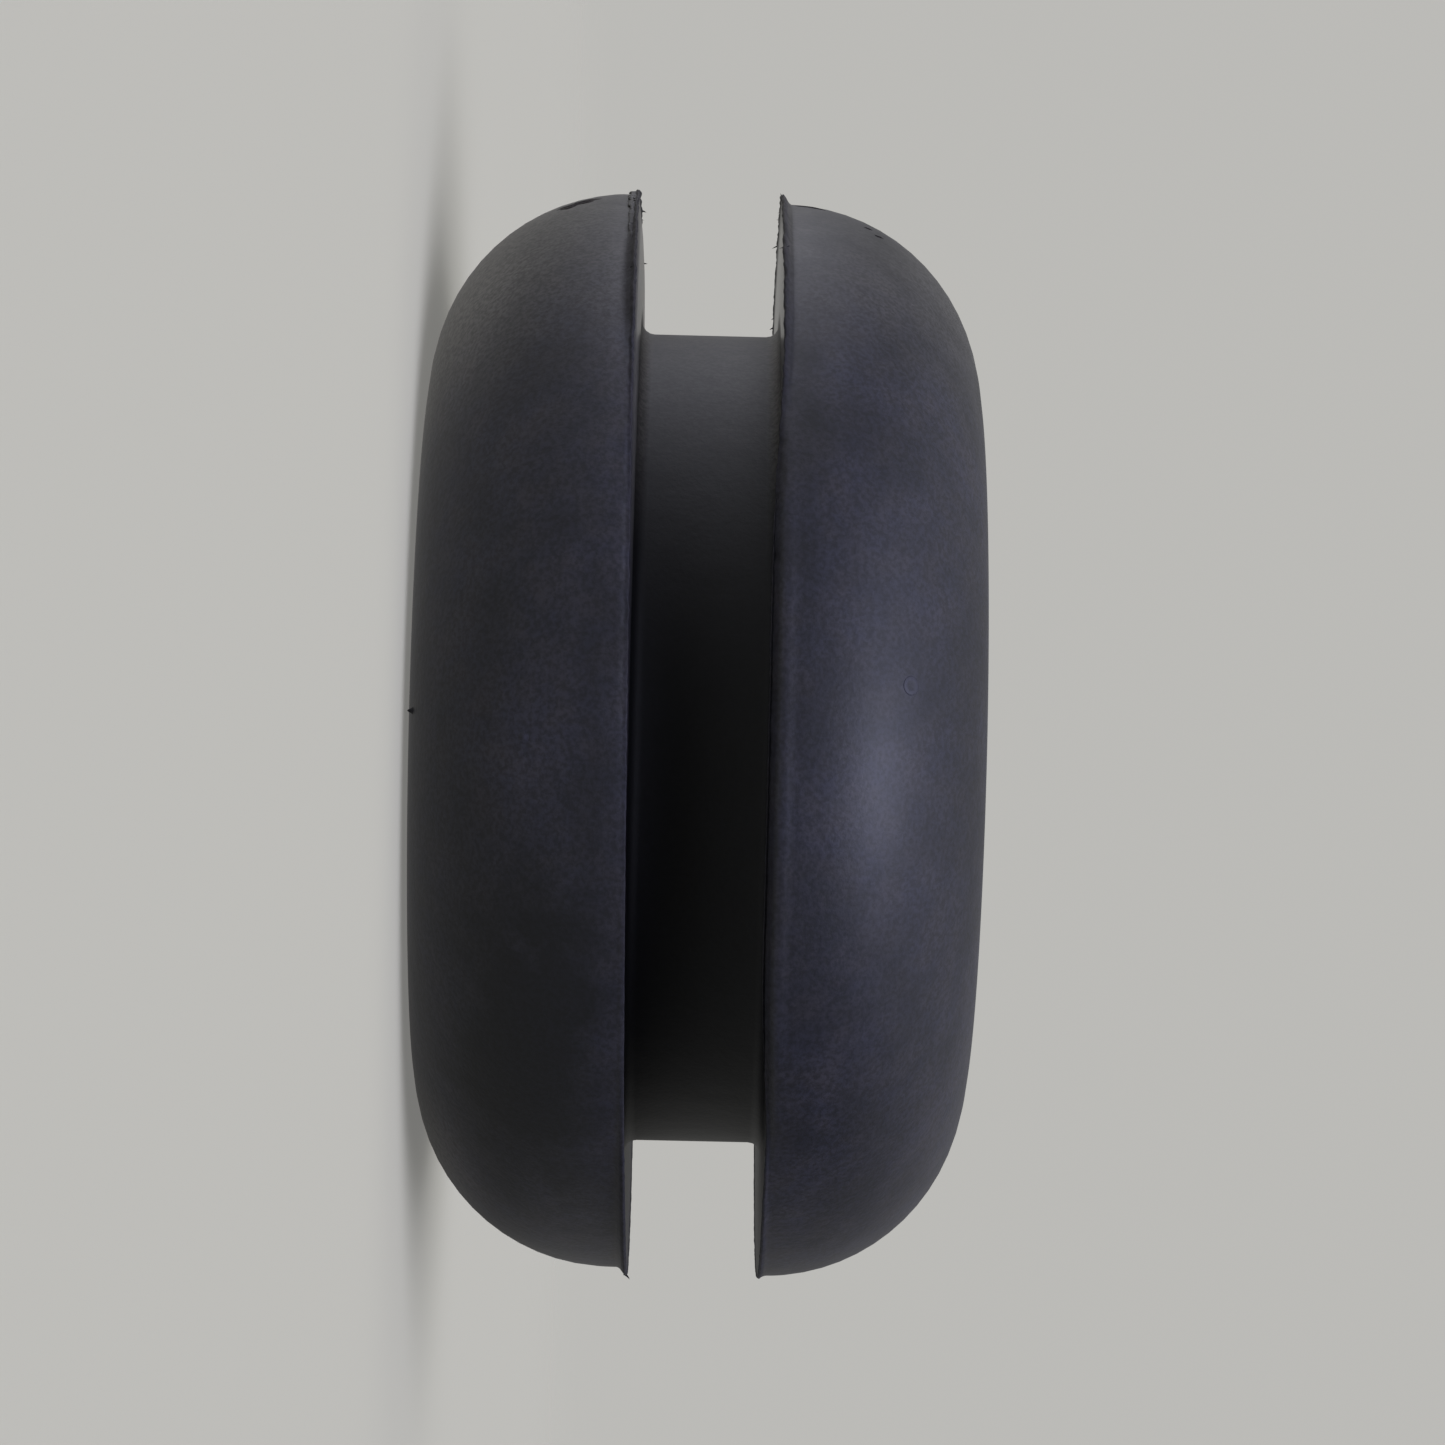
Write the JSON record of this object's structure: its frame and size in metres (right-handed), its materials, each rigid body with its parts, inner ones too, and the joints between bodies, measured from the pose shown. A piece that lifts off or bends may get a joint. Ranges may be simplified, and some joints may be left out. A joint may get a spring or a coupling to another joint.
{
  "type": "rubber grommet",
  "caption": "Round moulded rubber panel grommet with a plain cable bore and a square-walled groove between crowned flanges.",
  "frame": {"origin": "on the axis, in the middle of the panel groove", "axes": "+Z along the axis of the ring and its bore; the part stands on its lower flange face, and X and Y are alike"},
  "size_m": [0.0254, 0.0254, 0.0126],
  "materials": {
    "rubber": "satin moulded black rubber with a fine grain"
  },
  "bodies": {
    "root": {"grommet": "rubber"}
  },
  "joints": []
}
